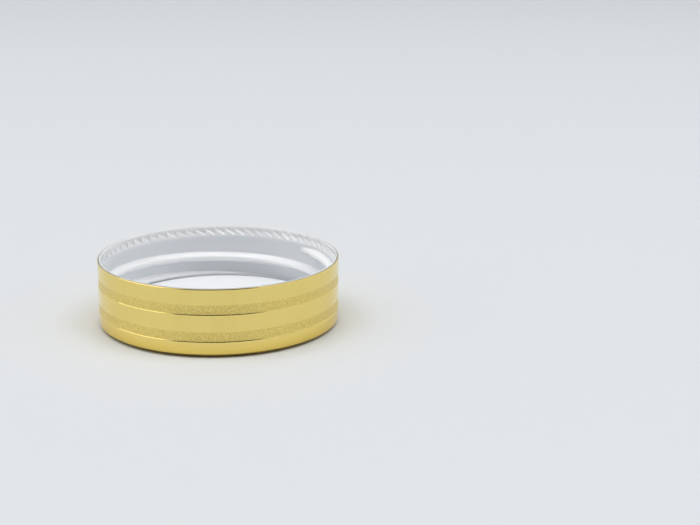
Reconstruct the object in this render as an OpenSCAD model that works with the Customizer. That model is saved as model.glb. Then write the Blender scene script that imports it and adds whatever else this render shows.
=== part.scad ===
// Screw-on jar lid: drawn metal shell, moulded screw insert and sealing disc.
// The lid lies on its closed face with the open mouth up.
// Millimetres. The origin is the centre of the closed face, and +Z points out of the mouth.

/* [Overall] */
// diameter over the plain metal
outer_d = 51; // [49:0.5:56]
// height from the closed face to the insert's rim
outer_h = 14.3; // [13:0.1:18]

/* [Outer shell] */
// thickness of the drawn sheet
metal_t = 0.35; // [0.3:0.05:0.5]
// outside radius of the bend between closed face and side
edge_r = 0.8; // [0.5:0.05:1.2]
// height of each frosted band
band_w = 2.15; // [1:0.05:2.5]
// depth of each frosted band below the plain metal
band_depth = 0.08; // [0.06:0.02:0.16]
// height of the slope at each side of a band
band_slope = 0.13; // [0.05:0.01:0.3]
// height of the lower band's bottom ledge
band_low_z = 3.3; // [2:0.1:4]
// distance from one band to the next
band_step = 5.55; // [4:0.05:5.8]

/* [Screw insert] */
// side clearance between the insert and the shell
insert_fit = 0.05; // [0.03:0.01:0.1]
// thickness of the side wall
wall_t = 0.8; // [0.7:0.05:1.2]
// thickness of the ceiling plate
ceiling_t = 1.4; // [1:0.1:1.8]
// how far the rim stands above the metal's free edge
rim_rise = 0.1; // [0.05:0.05:0.3]
// bevel that clears the shell's inside bend
base_bevel = 0.5; // [0.4:0.05:0.8]

/* [Ratchet ring] */
// height of the flared lead-in that the pockets are sunk in
flare_h = 2.5; // [2.3:0.1:2.8]
// widening of the bore at the rim, on one side
flare_out = 0.65; // [0.6:0.01:0.68]
// number of pockets round the rim
pocket_count = 68; // [48:1:72]
// direction of the first pocket's upright end, counter-clockwise from +X
pocket_start = 2.5; // [0:0.5:5]
// depth of each pocket behind the plain bore
pocket_in = 0.5; // [0.4:0.05:0.5]
// width of each pocket along the rim
pocket_w = 1.9; // [1.2:0.05:2]
// drop of the pocket floor at its upright end
pocket_deep = 1.65; // [1.2:0.05:1.7]
// drop of the pocket floor at its ramp end
pocket_shallow = 0.75; // [0.65:0.05:0.9]
// fall of the pocket floor toward the bore
pocket_fall = 0.6; // [0.3:0.05:0.7]

/* [Neck thread] */
// advance in one turn
pitch = 4.233; // [3.175:0.001:4.5]
// height of the ridge above the bore wall
ridge_depth = 1.3; // [0.9:0.1:1.4]
// width of the ridge where it meets the wall
ridge_root_w = 2.1; // [1.6:0.1:2.4]
// width of the ridge along its crest
ridge_crest_w = 0.9; // [0.6:0.1:1.2]
// direction of the ridge's upper end, counter-clockwise from +X
start_angle = 47; // [0:1:90]
// distance from the rim down to the ridge's upper end
start_drop = 3.4; // [3.3:0.1:4]
// turn over which the upper end rises to full height
lead_in = 14; // [8:1:30]
// turn over which the lower end fades into the wall
run_out = 85; // [40:5:120]

/* [Sealing disc] */
// thickness
liner_t = 1.3; // [0.8:0.1:1.4]
// side clearance to the ridge's crest
liner_gap = 0.1; // [0.05:0.05:0.5]

/* [Hidden] */
$fn = 180;

outer_r = outer_d / 2;
metal_in_r = outer_r - metal_t;
insert_r = metal_in_r - insert_fit;
bore_r = insert_r - wall_t;
crest_r = bore_r - ridge_depth;
shell_h = outer_h - rim_rise;
ceiling_z = metal_t + ceiling_t;
liner_r = crest_r - liner_gap;
liner_z = ceiling_z + liner_t;
inner_edge_r = edge_r - metal_t;

// the cutters reach this far past a surface
over = 0.5;
flare_top_r = bore_r + flare_out * (flare_h + over) / flare_h;
// the ridge's root is buried this deep in the wall
bury = 0.4;
// the ridge is swept past its crest and turned back to an exact cylinder
crest_stock = 0.15;
// both ends of the ridge sink this far below the bore wall
end_sink = 0.1;
// the ridge's rounded shoulder: share of its height, and its width as a multiple of the crest
shoulder_at = 0.75;
shoulder_w = 1.4;
// the full crest ends this high above the sealing disc
crest_lift = 0.1;
// one step of the ridge's sweep, in degrees
sweep_step = 5;

start_z = outer_h - start_drop;
full_turn = 360;
full_drop = start_z - liner_z - crest_lift - ridge_crest_w / 2;
full_angle = full_turn * full_drop / pitch;
end_angle = full_angle + run_out;
steps = ceil(end_angle / sweep_step);

// half section of a disc of radius r from z0 up to z1, its lower edge rounded
module rounded_disc_section(r, z0, z1, edge) {
    translate([0, z0 + edge])
        square([r, z1 - z0 - edge]);
    translate([0, z0])
        square([r - edge, 2 * edge]);
    translate([r - edge, z0 + edge])
        circle(r = edge);
}

// half section of one frosted band's groove, with sloped sides
module band_section(z) {
    floor_r = outer_r - band_depth;
    polygon([
        [floor_r, z + band_slope], [outer_r, z], [outer_r + over, z],
        [outer_r + over, z + band_w], [outer_r, z + band_w], [floor_r, z + band_w - band_slope]
    ]);
}

// drawn cup with a rounded closed end and two shallow bands
module outer_shell() {
    color([0.84, 0.76, 0.45])
        rotate_extrude()
            difference() {
                rounded_disc_section(outer_r, 0, shell_h, edge_r);
                rounded_disc_section(metal_in_r, metal_t, shell_h + over, inner_edge_r);
                band_section(band_low_z);
                band_section(band_low_z + band_step);
            }
}

// share of full height that the ridge has at this angle from its upper end
function ridge_share(a) =
    a < lead_in ? a / lead_in
    : a > full_angle ? (end_angle - a) / run_out
    : 1;

// ridge outline at one angle: radial offset from the bore wall and height from the ridge's middle
function ridge_outline(share) =
    let (
        top = share * (ridge_depth + crest_stock + end_sink) - end_sink,
        shoulder = share * (ridge_depth * shoulder_at + end_sink) - end_sink,
        crest = ridge_crest_w / 2 * (1 + share) / 2,
        root = ridge_root_w / 2 * (1 + share) / 2,
        buried = root + (root - crest) * bury / ridge_depth
    )
    [
        [bury, buried], [-shoulder, crest * shoulder_w], [-top, crest],
        [-top, -crest], [-shoulder, -crest * shoulder_w], [bury, -buried]
    ];

// the same outline placed on its helix
function ridge_ring(a) =
    let (
        turned = start_angle - a,
        z = start_z - pitch * a / full_turn
    )
    [
        for (p = ridge_outline(ridge_share(a)))
            [(bore_r + p[0]) * cos(turned), (bore_r + p[0]) * sin(turned), z + p[1]]
    ];

// single-start right-handed ridge
module ridge_sweep() {
    sides = 6;
    rings = [for (i = [0 : steps]) ridge_ring(min(i * sweep_step, end_angle))];
    points = [for (ring = rings) for (p = ring) p];
    skin = [
        for (i = [0 : steps - 1])
            for (k = [0 : sides - 1])
                let (
                    a = i * sides + k,
                    b = i * sides + (k + 1) % sides
                )
                each [[a, a + sides, b], [b, a + sides, b + sides]]
    ];
    first_end = [for (k = [1 : sides - 2]) [0, k, k + 1]];
    last = steps * sides;
    last_end = [for (k = [1 : sides - 2]) [last, last + k + 1, last + k]];
    polyhedron(points = points, faces = concat(skin, first_end, last_end));
}

// wedge-shaped pocket: upright at its clockwise end, ramped at the other
module ratchet_pocket() {
    front = bore_r - over;
    back = bore_r + pocket_in;
    fall = pocket_fall * (pocket_in + over) / pocket_in;
    deep_z = outer_h - pocket_deep;
    shallow_z = outer_h - pocket_shallow;
    polyhedron(
        points = [
            [front, 0, deep_z - fall], [back, 0, deep_z],
            [back, 0, outer_h + over], [front, 0, outer_h + over],
            [front, pocket_w, shallow_z - fall], [back, pocket_w, shallow_z],
            [back, pocket_w, outer_h + over], [front, pocket_w, outer_h + over]
        ],
        faces = [
            [0, 2, 1], [0, 3, 2], [4, 5, 6], [4, 6, 7], [0, 1, 5], [0, 5, 4],
            [1, 2, 6], [1, 6, 5], [2, 3, 7], [2, 7, 6], [3, 0, 4], [3, 4, 7]
        ]
    );
}

// plain bore that flares toward the rim
module bore() {
    flare_z = outer_h - flare_h;
    rotate_extrude()
        polygon([
            [0, ceiling_z], [bore_r, ceiling_z], [bore_r, flare_z],
            [flare_top_r, outer_h + over], [0, outer_h + over]
        ]);
}

// moulded insert: plain cup with an internal thread and a ring of ratchet pockets
module inner_cap() {
    color([0.93, 0.94, 0.95])
        difference() {
            union() {
                difference() {
                    rotate_extrude()
                        polygon([
                            [0, metal_t], [insert_r - base_bevel, metal_t],
                            [insert_r, metal_t + base_bevel], [insert_r, outer_h], [0, outer_h]
                        ]);
                    bore();
                }
                ridge_sweep();
            }
            translate([0, 0, ceiling_z])
                cylinder(r = crest_r, h = outer_h);
            for (i = [0 : pocket_count - 1])
                rotate([0, 0, pocket_start + i * full_turn / pocket_count])
                    ratchet_pocket();
        }
}

// flat sealing disc lying on the insert's ceiling
module liner() {
    color([0.97, 0.97, 0.97])
        translate([0, 0, ceiling_z])
            cylinder(r = liner_r, h = liner_t);
}

outer_shell();
inner_cap();
liner();
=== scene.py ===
import math

import bmesh
import bpy
from mathutils import Matrix, Vector


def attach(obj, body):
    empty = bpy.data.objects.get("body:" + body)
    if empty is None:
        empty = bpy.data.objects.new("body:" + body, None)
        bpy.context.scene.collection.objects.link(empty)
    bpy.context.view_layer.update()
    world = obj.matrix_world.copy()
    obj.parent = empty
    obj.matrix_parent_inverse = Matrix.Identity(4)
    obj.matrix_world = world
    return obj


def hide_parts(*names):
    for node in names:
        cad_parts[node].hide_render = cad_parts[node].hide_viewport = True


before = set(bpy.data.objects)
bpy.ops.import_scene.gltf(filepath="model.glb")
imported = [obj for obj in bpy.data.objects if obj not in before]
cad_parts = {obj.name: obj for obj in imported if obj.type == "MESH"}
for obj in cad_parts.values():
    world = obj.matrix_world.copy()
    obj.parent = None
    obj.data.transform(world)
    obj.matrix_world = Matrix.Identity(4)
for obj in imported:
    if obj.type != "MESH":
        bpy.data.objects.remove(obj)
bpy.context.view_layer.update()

# ---- Camera ----
# Looks 15.7 degrees down at the lid from low over the table, with the lid left of the middle of
# the picture. Its place is in the lid's own radii, along its own right, up and backward.
MM = 0.001
LID_R = 25.5 * MM
CAMERA_PITCH = math.radians(15.67)
CAMERA_ROLL = math.radians(-0.45)
CAMERA_RIGHT = 1.0985 * LID_R
CAMERA_UP = 0.472 * LID_R
CAMERA_BACK = 11.078 * LID_R
PICTURE_WIDTH = 700
LENS_IN_PIXELS = 1310
camera_data = bpy.data.cameras.new("camera")
camera_data.sensor_width = 36
camera_data.lens = camera_data.sensor_width * LENS_IN_PIXELS / PICTURE_WIDTH
camera_data.clip_start = 0.01
camera_data.clip_end = 60
camera = bpy.data.objects.new("camera", camera_data)
bpy.context.scene.collection.objects.link(camera)
level_right = Vector((1, 0, 0))
level_up = Vector((0, math.sin(CAMERA_PITCH), math.cos(CAMERA_PITCH)))
forward = Vector((0, math.cos(CAMERA_PITCH), -math.sin(CAMERA_PITCH)))
right = math.cos(CAMERA_ROLL) * level_right - math.sin(CAMERA_ROLL) * level_up
up = math.sin(CAMERA_ROLL) * level_right + math.cos(CAMERA_ROLL) * level_up
camera_turn = Matrix((right, up, -forward)).transposed().to_4x4()
camera_place = CAMERA_RIGHT * right + CAMERA_UP * up - CAMERA_BACK * forward
camera.matrix_world = Matrix.Translation(camera_place) @ camera_turn
bpy.context.scene.camera = camera

# ---- Floor ----
# One wide sheet of pale card, matt and slightly cool. It reaches far enough back to be the
# whole background of the picture.
FLOOR_HALF = 12.0
CARD_GREY = (0.725, 0.745, 0.765, 1)


def object_from(mesh_in_work, name):
    """Puts a bmesh into a new object at the origin."""
    mesh = bpy.data.meshes.new(name)
    mesh_in_work.to_mesh(mesh)
    mesh_in_work.free()
    made = bpy.data.objects.new(name, mesh)
    bpy.context.scene.collection.objects.link(made)
    return made


bm = bmesh.new()
bmesh.ops.create_grid(bm, x_segments=1, y_segments=1, size=FLOOR_HALF)
floor = object_from(bm, "floor")
card = bpy.data.materials.new("floor_card")
card.use_nodes = True
card_shader = card.node_tree.nodes["Principled BSDF"]
card_shader.inputs["Base Color"].default_value = CARD_GREY
card_shader.inputs["Roughness"].default_value = 0.75
card_shader.inputs["Specular IOR Level"].default_value = 0.2
floor.data.materials.append(card)

# ---- Light ----
# One large soft box overhead, a softer light from each side, and a small bright window high
# behind the lid. The room is pale, with a wide dark opening in front of the table.
SOFTBOX_PLACE = (0.1, -0.4, 2.6)
WINDOW_PLACE = (-0.03, 0.95, 2.35)
LEFT_PLACE = (-2.3, -0.6, 1.9)
RIGHT_PLACE = (2.3, -0.6, 1.9)
OPENING_DIRECTION = (0, -0.866, 0.5)
OPENING_DARK_FROM = 0.82
OPENING_PALE_FROM = 0.68
DARK_GLOW = 0.04
PALE_GLOW = 0.28
DARK_SEEN = 0.05
PALE_SEEN = 0.85
ROOM_GLOW = (0.95, 0.97, 1.0, 1)
ROOM_SEEN = (0.96, 0.98, 1.0, 1)
BACKDROP = (0.78, 0.81, 0.83, 1)


def area_light(name, width, depth, energy, place):
    """Hangs a rectangular light at a place, facing straight down."""
    light_data = bpy.data.lights.new(name, "AREA")
    light_data.shape = "RECTANGLE"
    light_data.size = width
    light_data.size_y = depth
    light_data.energy = energy
    light = bpy.data.objects.new(name, light_data)
    bpy.context.scene.collection.objects.link(light)
    light.location = place
    return light


def aim_at_lid(light):
    """Turns a light that hangs straight to face the lid."""
    place = light.location.copy()
    turn = place.to_track_quat("Z", "Y").to_matrix().to_4x4()
    light.matrix_world = Matrix.Translation(place) @ turn


area_light("softbox", width=3.4, depth=1.8, energy=57, place=SOFTBOX_PLACE)
window = area_light("window", width=0.6, depth=0.3, energy=3, place=WINDOW_PLACE)
left_light = area_light("left_light", width=3.2, depth=3.2, energy=20, place=LEFT_PLACE)
right_light = area_light("right_light", width=2.6, depth=2.6, energy=13, place=RIGHT_PLACE)
right_light.visible_glossy = False
for light in (window, left_light, right_light):
    aim_at_lid(light)

room = bpy.data.worlds.new("room")
room.use_nodes = True
bpy.context.scene.world = room
nodes = room.node_tree.nodes
links = room.node_tree.links
nodes.clear()
direction = nodes.new("ShaderNodeTexCoord")
opening = nodes.new("ShaderNodeVectorMath")
opening.operation = "DOT_PRODUCT"
opening.inputs[1].default_value = OPENING_DIRECTION
links.new(direction.outputs["Generated"], opening.inputs[0])
glow = nodes.new("ShaderNodeBackground")
mirrored = nodes.new("ShaderNodeBackground")
for background, colour, dark, pale in (
    (glow, ROOM_GLOW, DARK_GLOW, PALE_GLOW), (mirrored, ROOM_SEEN, DARK_SEEN, PALE_SEEN),
):
    strength = nodes.new("ShaderNodeMapRange")
    strength.inputs["From Min"].default_value = OPENING_DARK_FROM
    strength.inputs["From Max"].default_value = OPENING_PALE_FROM
    strength.inputs["To Min"].default_value = dark
    strength.inputs["To Max"].default_value = pale
    background.inputs["Color"].default_value = colour
    links.new(opening.outputs["Value"], strength.inputs["Value"])
    links.new(strength.outputs["Result"], background.inputs["Strength"])
backdrop = nodes.new("ShaderNodeBackground")
backdrop.inputs["Color"].default_value = BACKDROP
path = nodes.new("ShaderNodeLightPath")
mirrored_or_through = nodes.new("ShaderNodeMath")
mirrored_or_through.operation = "MAXIMUM"
links.new(path.outputs["Is Glossy Ray"], mirrored_or_through.inputs[0])
links.new(path.outputs["Is Transmission Ray"], mirrored_or_through.inputs[1])
lit_or_mirrored = nodes.new("ShaderNodeMixShader")
links.new(mirrored_or_through.outputs[0], lit_or_mirrored.inputs[0])
links.new(glow.outputs[0], lit_or_mirrored.inputs[1])
links.new(mirrored.outputs[0], lit_or_mirrored.inputs[2])
lit_or_seen = nodes.new("ShaderNodeMixShader")
links.new(path.outputs["Is Camera Ray"], lit_or_seen.inputs[0])
links.new(lit_or_mirrored.outputs[0], lit_or_seen.inputs[1])
links.new(backdrop.outputs[0], lit_or_seen.inputs[2])
room_output = nodes.new("ShaderNodeOutputWorld")
links.new(lit_or_seen.outputs[0], room_output.inputs[0])
bpy.context.scene.view_settings.view_transform = "Standard"

# ---- Outer shell ----
# A cup drawn from thin aluminium sheet, its closed face crowned at the border, polished and
# lacquered gold. Two shallow bands are rolled into the side and blasted to a fine frost. The
# free edge is trimmed last, so its small bevelled cut shows bare metal, coloured dark grey.
SHELL_H = 14.2 * MM
SHEET = 0.35 * MM
INSIDE_BEND = 0.45 * MM
BEND_H = 0.85 * MM
BEND_W = 0.65 * MM
BEND_TOP_ROUND = 0.18 * MM
BEND_FOOT_ROUND = 0.2 * MM
CROWN_H = 0.3 * MM
CROWN_W = 1.9 * MM
CROWN_ROUND = 0.5 * MM
BAND_DEPTH = 0.08 * MM
BAND_SLOPE = 0.13 * MM
BAND_HEIGHT = 2.15 * MM
BAND_FEET = (3.3 * MM, 8.85 * MM)
LEDGE_ROUND = 0.03 * MM
EDGE_BEVEL_H = 0.16 * MM
EDGE_BEVEL_W = 0.1 * MM
EDGE_OUTER_ROUND = 0.04 * MM
EDGE_INNER_ROUND = 0.06 * MM
BARE_METAL_H = 0.05 * MM
FROSTED_SLOT = 1
BARE_SLOT = 2
TURN_STEPS = 544
SAME_POINT = 0.001 * MM
MERGE_POINTS = 0.0005 * MM
GOLD_TONES = ((0.86, 0.675, 0.215, 1), (0.89, 0.705, 0.235, 1))
# painted shade: a darker, warmer gold painted toward the bend at the closed face
GOLD_PAINTED_SHADE_AT_BEND = (0.84, 0.635, 0.165, 1)
PAINTED_SHADE_STARTS_Z = 4.0 * MM
PAINTED_SHADE_FULL_Z = 0.6 * MM
FROST_TONES = ((0.67, 0.51, 0.135, 1), (0.92, 0.735, 0.255, 1))
BARE_TONES = ((0.34, 0.32, 0.25, 1), (0.48, 0.45, 0.36, 1))


def half_section(corners):
    """A new bmesh with one face in the XZ plane, through (radius, height) corners."""
    section = bmesh.new()
    section.faces.new([section.verts.new((r, 0, z)) for r, z in corners])
    return section


def round_corners(section, corners, reach, segments):
    """Rounds these corners of a half section, starting reach away along both sides."""
    near = [
        v for v in section.verts
        if any(math.hypot(v.co.x - r, v.co.z - z) < SAME_POINT for r, z in corners)
    ]
    bmesh.ops.bevel(
        section, geom=near, offset=reach, offset_type="OFFSET", segments=segments,
        profile=0.5, affect="VERTICES", material=-1,
    )


def turn_section(section):
    """Turns a half section once round the axis into a closed solid."""
    bmesh.ops.delete(section, geom=section.faces[:], context="FACES_ONLY")
    on_axis = [e for e in section.edges if max(abs(v.co.x) for v in e.verts) < SAME_POINT]
    bmesh.ops.delete(section, geom=on_axis, context="EDGES")
    bmesh.ops.spin(
        section, geom=section.verts[:] + section.edges[:], cent=(0, 0, 0), axis=(0, 0, 1),
        dvec=(0, 0, 0), angle=math.tau, steps=TURN_STEPS, use_merge=True, use_duplicate=False,
    )
    bmesh.ops.remove_doubles(section, verts=section.verts[:], dist=MERGE_POINTS)
    bmesh.ops.recalc_face_normals(section, faces=section.faces[:])


def smooth_but_creases(mesh_in_work, crease_degrees):
    """Smooth shading, with every edge sharper than the given angle kept as a crease."""
    for face in mesh_in_work.faces:
        face.smooth = True
    for edge in mesh_in_work.edges:
        if len(edge.link_faces) == 2:
            edge.smooth = edge.calc_face_angle(0) < math.radians(crease_degrees)


def patterned_finish(name, tones, stops, roughness, grain, detail, stretch_z, metallic):
    """A new material whose colour and roughness both follow one noise through the piece."""
    finish = bpy.data.materials.new(name)
    finish.use_nodes = True
    nodes = finish.node_tree.nodes
    links = finish.node_tree.links
    shader = nodes["Principled BSDF"]
    shader.inputs["Metallic"].default_value = metallic
    place = nodes.new("ShaderNodeTexCoord")
    place.name = "place"
    stretch = nodes.new("ShaderNodeMapping")
    stretch.inputs["Scale"].default_value = (1, 1, stretch_z)
    pattern = nodes.new("ShaderNodeTexNoise")
    pattern.name = "pattern"
    pattern.inputs["Scale"].default_value = grain
    pattern.inputs["Detail"].default_value = detail
    tone = nodes.new("ShaderNodeValToRGB")
    tone.name = "tone"
    for ramp_end, stop, colour in zip(tone.color_ramp.elements, stops, tones):
        ramp_end.position = stop
        ramp_end.color = colour
    polish = nodes.new("ShaderNodeMapRange")
    polish.inputs["To Min"].default_value = roughness[0]
    polish.inputs["To Max"].default_value = roughness[1]
    links.new(place.outputs["Object"], stretch.inputs["Vector"])
    links.new(stretch.outputs["Vector"], pattern.inputs["Vector"])
    links.new(pattern.outputs["Fac"], tone.inputs["Fac"])
    links.new(tone.outputs["Color"], shader.inputs["Base Color"])
    links.new(pattern.outputs["Fac"], polish.inputs["Value"])
    links.new(polish.outputs["Result"], shader.inputs["Roughness"])
    return finish


def blend_colour(finish, measure, start, end, colour):
    """Blends a finish's tone into another colour while a measure goes from start to end."""
    nodes = finish.node_tree.nodes
    links = finish.node_tree.links
    share = nodes.new("ShaderNodeMapRange")
    share.interpolation_type = "SMOOTHSTEP"
    share.inputs["From Min"].default_value = start
    share.inputs["From Max"].default_value = end
    blended = nodes.new("ShaderNodeMix")
    blended.data_type = "RGBA"
    blended.inputs["B"].default_value = colour
    links.new(measure, share.inputs["Value"])
    links.new(share.outputs["Result"], blended.inputs["Factor"])
    links.new(nodes["tone"].outputs["Color"], blended.inputs["A"])
    links.new(blended.outputs["Result"], nodes["Principled BSDF"].inputs["Base Color"])


def pit_surface(finish, strength, depth):
    """Lets a finish's own noise also stand in relief."""
    nodes = finish.node_tree.nodes
    links = finish.node_tree.links
    pits = nodes.new("ShaderNodeBump")
    pits.inputs["Strength"].default_value = strength
    pits.inputs["Distance"].default_value = depth
    links.new(nodes["pattern"].outputs["Fac"], pits.inputs["Height"])
    links.new(pits.outputs["Normal"], nodes["Principled BSDF"].inputs["Normal"])


bend_top = (LID_R, BEND_H)
bend_foot = (LID_R - BEND_W, CROWN_H)
crown_end = (LID_R - CROWN_W, 0)
edge_outside = (LID_R, SHELL_H - EDGE_BEVEL_H)
edge_top = (LID_R - EDGE_BEVEL_W, SHELL_H)
edge_inside = (LID_R - SHEET, SHELL_H)
inside_foot = (LID_R - SHEET, SHEET)
band_corners = []
for foot in BAND_FEET:
    band_corners += [
        (LID_R, foot), (LID_R - BAND_DEPTH, foot + BAND_SLOPE),
        (LID_R - BAND_DEPTH, foot + BAND_HEIGHT - BAND_SLOPE), (LID_R, foot + BAND_HEIGHT),
    ]
bm = half_section([
    (0, 0), crown_end, bend_foot, bend_top, *band_corners,
    edge_outside, edge_top, edge_inside, inside_foot, (0, SHEET),
])
round_corners(bm, [inside_foot], reach=INSIDE_BEND, segments=6)
round_corners(bm, [bend_top], reach=BEND_TOP_ROUND, segments=8)
round_corners(bm, [bend_foot], reach=BEND_FOOT_ROUND, segments=6)
round_corners(bm, [crown_end], reach=CROWN_ROUND, segments=5)
round_corners(bm, band_corners, reach=LEDGE_ROUND, segments=3)
round_corners(bm, [edge_outside, edge_top], reach=EDGE_OUTER_ROUND, segments=3)
round_corners(bm, [edge_inside], reach=EDGE_INNER_ROUND, segments=3)
turn_section(bm)
for face in bm.faces:
    middle = face.calc_center_median()
    in_band = any(
        foot + BAND_SLOPE / 2 < middle.z < foot + BAND_HEIGHT - BAND_SLOPE / 2
        for foot in BAND_FEET
    )
    if middle.z > SHELL_H - BARE_METAL_H:
        face.material_index = BARE_SLOT
    elif in_band and middle.xy.length > LID_R - SHEET / 2:
        face.material_index = FROSTED_SLOT
smooth_but_creases(bm, crease_degrees=50)
shell = object_from(bm, "outer_shell_drawn")

# painted shade and painted warm reflection: the gold is painted darker and more orange toward the
# bend at the closed face, in place of the shade and gold-on-gold reflections there
gold_bright = patterned_finish(
    "gold_bright", GOLD_TONES, stops=(0.3, 0.7), roughness=(0.05, 0.10),
    grain=260, detail=3, stretch_z=0.12, metallic=1.0,
)
height = gold_bright.node_tree.nodes.new("ShaderNodeSeparateXYZ")
place = gold_bright.node_tree.nodes["place"]
gold_bright.node_tree.links.new(place.outputs["Object"], height.inputs[0])
blend_colour(gold_bright, height.outputs["Z"], PAINTED_SHADE_STARTS_Z, PAINTED_SHADE_FULL_Z, GOLD_PAINTED_SHADE_AT_BEND)

gold_frosted = patterned_finish(
    "gold_frosted", FROST_TONES, stops=(0.32, 0.68), roughness=(0.30, 0.42),
    grain=3800, detail=2, stretch_z=1, metallic=1.0,
)
gold_frosted.node_tree.nodes["pattern"].inputs["Roughness"].default_value = 0.6
pit_surface(gold_frosted, strength=0.35, depth=0.03 * MM)

aluminium_bare = patterned_finish(
    "aluminium_bare", BARE_TONES, stops=(0, 1), roughness=(0.28, 0.42),
    grain=900, detail=4, stretch_z=8, metallic=1.0,
)
for finish in (gold_bright, gold_frosted, aluminium_bare):
    shell.data.materials.append(finish)
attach(shell, "root")
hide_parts("outer_shell")

# ---- Screw insert ----
# White glossy polypropylene, moulded in one shot and pressed into the shell: a ceiling plate,
# a side wall with a right-handed thread, and a flared mouth with a ring of ratchet pockets.
INSERT_R = 25.1 * MM
BORE_R = 24.3 * MM
RIM_Z = 14.3 * MM
RIM_ROUND = 0.05 * MM
FLARE_H = 2.5 * MM
FLARE_OUT = 0.65 * MM
FLARE_ROUND = 0.5 * MM
LIP_H = 0.55 * MM
LIP_OUT = 0.43 * MM
LIP_ROUND = 0.15 * MM
CEILING_Z = 1.75 * MM
CEILING_FILLET = 0.4 * MM
INSERT_BEVEL = 0.5 * MM
PITCH = 4.233 * MM
THREAD_TOP_Z = 10.9 * MM
THREAD_START = math.radians(47)
FULL_ANGLE = math.radians(622)
LEAD_IN = math.radians(14)
RUN_OUT = math.radians(85)
RIDGE_DEPTH = 1.3 * MM
RIDGE_BURY = 0.03 * MM
RIDGE_BACK = 0.4 * MM
RIDGE_FOOT_HALF = 1.6 * MM
RIDGE_ROOT_HALF = 1.05 * MM
RIDGE_ROOT_FILLET = 0.4 * MM
RIDGE_CREST_HALF = 0.4 * MM
RIDGE_CREST_ROUND = 0.35 * MM
RIDGE_STEPS_A_TURN = 136
FADED_WIDTH = 0.55
POCKETS = 68
POCKET_START = math.radians(2.5)
POCKET_IN = 0.5 * MM
POCKET_W = 1.9 * MM
POCKET_DEEP = 1.65 * MM
POCKET_SHALLOW = 0.75 * MM
POCKET_FALL = 0.6 * MM
CUT_PAST = 0.5 * MM
# painted shade on the plain wall, and painted light on the ridge and the mouth (the whiter tone
# below)
WALL_TONES = ((0.775, 0.805, 0.835, 1), (0.80, 0.825, 0.85, 1))
PAINTED_LIGHT_WHITE = (0.94, 0.95, 0.96, 1)
PAINTED_LIGHT_STARTS_OFF = 0.01 * MM
PAINTED_LIGHT_FULL_OFF = 0.14 * MM


def merge_solid(target, tool, operation):
    """Adds the tool to the target or cuts it out, and removes the tool."""
    boolean = target.modifiers.new("merge", "BOOLEAN")
    boolean.operation = operation
    boolean.solver = "EXACT"
    boolean.object = tool
    bpy.context.view_layer.update()
    finished = bpy.data.meshes.new_from_object(
        target.evaluated_get(bpy.context.evaluated_depsgraph_get())
    )
    target.modifiers.clear()
    target.data = finished
    bpy.data.objects.remove(tool)


flare_top = (BORE_R + FLARE_OUT, RIM_Z)
flare_lip = (BORE_R + LIP_OUT, RIM_Z - LIP_H)
flare_foot = (BORE_R, RIM_Z - FLARE_H)
bm = half_section([
    (0, SHEET), (INSERT_R - INSERT_BEVEL, SHEET), (INSERT_R, SHEET + INSERT_BEVEL),
    (INSERT_R, RIM_Z), flare_top, flare_lip, flare_foot, (BORE_R, CEILING_Z), (0, CEILING_Z),
])
round_corners(bm, [(INSERT_R, RIM_Z), flare_top], reach=RIM_ROUND, segments=8)
round_corners(bm, [flare_lip], reach=LIP_ROUND, segments=4)
round_corners(bm, [flare_foot], reach=FLARE_ROUND, segments=8)
round_corners(bm, [(BORE_R, CEILING_Z)], reach=CEILING_FILLET, segments=9)
turn_section(bm)
insert = object_from(bm, "screw_insert")

root_r = BORE_R + RIDGE_BURY
crest_r = BORE_R - RIDGE_DEPTH
roots = [(root_r, RIDGE_ROOT_HALF), (root_r, -RIDGE_ROOT_HALF)]
crests = [(crest_r, RIDGE_CREST_HALF), (crest_r, -RIDGE_CREST_HALF)]
bm = half_section([
    (BORE_R + RIDGE_BACK, -RIDGE_FOOT_HALF), (BORE_R + RIDGE_BACK, RIDGE_FOOT_HALF),
    (root_r, RIDGE_FOOT_HALF), roots[0], crests[0], crests[1], roots[1],
    (root_r, -RIDGE_FOOT_HALF),
])
round_corners(bm, roots, reach=RIDGE_ROOT_FILLET, segments=8)
round_corners(bm, crests, reach=RIDGE_CREST_ROUND, segments=9)
ridge_turn = FULL_ANGLE + RUN_OUT
ridge_steps = round(ridge_turn / math.tau * RIDGE_STEPS_A_TURN)
bmesh.ops.spin(
    bm, geom=bm.verts[:] + bm.edges[:] + bm.faces[:], cent=(0, 0, 0), axis=(0, 0, 1),
    dvec=(0, 0, -PITCH * ridge_turn / math.tau / ridge_steps), angle=-ridge_turn,
    steps=ridge_steps, use_merge=False, use_duplicate=False,
)
to_start = Matrix.Rotation(THREAD_START, 3, "Z")
bmesh.ops.rotate(bm, verts=bm.verts[:], cent=(0, 0, 0), matrix=to_start)
bm.verts.ensure_lookup_table()
bm.verts.index_update()
ring_size = len(bm.verts) // (ridge_steps + 1)
# the ridge rises out of the wall at its upper end and fades back into it at its lower end
for vert in bm.verts:
    turned = vert.index // ring_size * ridge_turn / ridge_steps
    middle_z = -PITCH * turned / math.tau
    share = min(1, turned / LEAD_IN, (ridge_turn - turned) / RUN_OUT)
    radius = vert.co.xy.length
    height = (BORE_R - radius) * share if radius < BORE_R else BORE_R - radius
    scale = (BORE_R - height) / radius
    rise = (vert.co.z - middle_z) * (FADED_WIDTH + (1 - FADED_WIDTH) * share)
    vert.co = Vector((vert.co.x * scale, vert.co.y * scale, THREAD_TOP_Z + middle_z + rise))
bmesh.ops.recalc_face_normals(bm, faces=bm.faces[:])
merge_solid(insert, object_from(bm, "thread_ridge"), "UNION")

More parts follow.
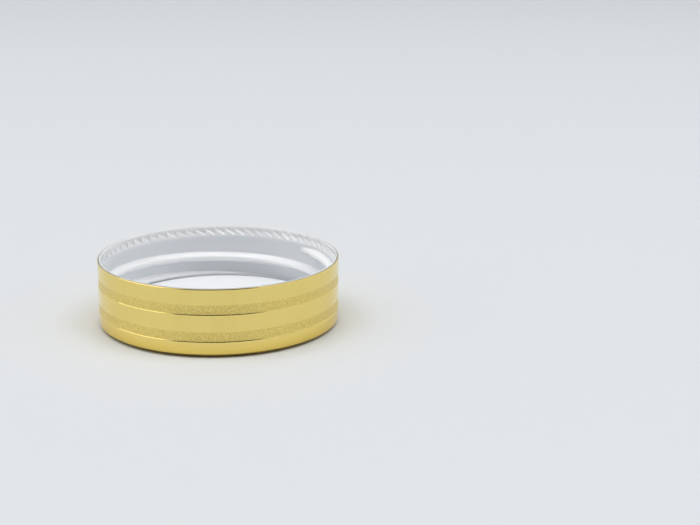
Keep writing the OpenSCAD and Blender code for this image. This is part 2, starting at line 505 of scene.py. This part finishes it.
# one wedge for a pocket, deep at its upright end and shallow at the other, repeated in a ring
bm = bmesh.new()
bmesh.ops.create_cube(bm, size=1)
for corner in bm.verts:
    at_back, at_ramp, at_top = corner.co.x > 0, corner.co.y > 0, corner.co.z > 0
    x = BORE_R + POCKET_IN if at_back else BORE_R - CUT_PAST
    y = POCKET_W if at_ramp else 0
    floor_z = RIM_Z - (POCKET_SHALLOW if at_ramp else POCKET_DEEP)
    if not at_back:
        floor_z -= POCKET_FALL * (POCKET_IN + CUT_PAST) / POCKET_IN
    corner.co = Vector((x, y, RIM_Z + CUT_PAST if at_top else floor_z))
to_first_pocket = Matrix.Rotation(POCKET_START, 3, "Z")
bmesh.ops.rotate(bm, verts=bm.verts[:], cent=(0, 0, 0), matrix=to_first_pocket)
bmesh.ops.spin(
    bm, geom=bm.verts[:] + bm.edges[:] + bm.faces[:], cent=(0, 0, 0), axis=(0, 0, 1),
    dvec=(0, 0, 0), angle=math.tau * (POCKETS - 1) / POCKETS, steps=POCKETS - 1,
    use_merge=False, use_duplicate=True,
)
bmesh.ops.recalc_face_normals(bm, faces=bm.faces[:])
merge_solid(insert, object_from(bm, "pocket_cutters"), "DIFFERENCE")
bm = bmesh.new()
bm.from_mesh(insert.data)
smooth_but_creases(bm, crease_degrees=12)
bm.to_mesh(insert.data)
bm.free()

# painted light: the ridge and the mouth, where they stand off the plain wall, are painted whiter
# than the wall for the extra light they catch, and the greyer plain wall is painted shade
insert_plastic = patterned_finish(
    "white_moulded_plastic", WALL_TONES, stops=(0, 1), roughness=(0.10, 0.16),
    grain=90, detail=3, stretch_z=1, metallic=0.0,
)
nodes = insert_plastic.node_tree.nodes
links = insert_plastic.node_tree.links
shader = nodes["Principled BSDF"]
shader.inputs["Subsurface Weight"].default_value = 0.4
shader.inputs["Subsurface Radius"].default_value = (1.0, 1.0, 1.0)
shader.inputs["Subsurface Scale"].default_value = 0.6 * MM
flatten = nodes.new("ShaderNodeVectorMath")
flatten.operation = "MULTIPLY"
flatten.inputs[1].default_value = (1, 1, 0)
from_axis = nodes.new("ShaderNodeVectorMath")
from_axis.operation = "LENGTH"
from_wall = nodes.new("ShaderNodeMath")
from_wall.operation = "SUBTRACT"
from_wall.inputs[1].default_value = BORE_R
either_way = nodes.new("ShaderNodeMath")
either_way.operation = "ABSOLUTE"
links.new(nodes["place"].outputs["Object"], flatten.inputs[0])
links.new(flatten.outputs["Vector"], from_axis.inputs[0])
links.new(from_axis.outputs["Value"], from_wall.inputs[0])
links.new(from_wall.outputs["Value"], either_way.inputs[0])
off_wall = either_way.outputs["Value"]
# painted light: whiter toward the ridge and the mouth, away from the plain wall
blend_colour(insert_plastic, off_wall, PAINTED_LIGHT_STARTS_OFF, PAINTED_LIGHT_FULL_OFF, PAINTED_LIGHT_WHITE)
insert.data.materials.clear()
insert.data.materials.append(insert_plastic)
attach(insert, "root")
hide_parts("inner_cap")

# ---- Sealing disc ----
# A disc punched from white foamed sheet, laid loose on the insert's ceiling. The punch
# crushes its edge slightly round.
DISC_R = 22.9 * MM
DISC_Z = 3.05 * MM
DISC_TOP_ROUND = 0.22 * MM
DISC_FOOT_ROUND = 0.1 * MM
DISC_TONES = ((0.825, 0.835, 0.855, 1), (0.855, 0.865, 0.88, 1))
bm = half_section([(0, CEILING_Z), (DISC_R, CEILING_Z), (DISC_R, DISC_Z), (0, DISC_Z)])
round_corners(bm, [(DISC_R, DISC_Z)], reach=DISC_TOP_ROUND, segments=5)
round_corners(bm, [(DISC_R, CEILING_Z)], reach=DISC_FOOT_ROUND, segments=3)
turn_section(bm)
smooth_but_creases(bm, crease_degrees=40)
disc = object_from(bm, "sealing_disc")
disc_foam = patterned_finish(
    "white_sealing_foam", DISC_TONES, stops=(0, 1), roughness=(0.38, 0.5),
    grain=1800, detail=2, stretch_z=1, metallic=0.0,
)
disc_foam.node_tree.nodes["Principled BSDF"].inputs["Specular IOR Level"].default_value = 0.4
pit_surface(disc_foam, strength=0.1, depth=0.02 * MM)
disc.data.materials.append(disc_foam)
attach(disc, "root")
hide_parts("liner")
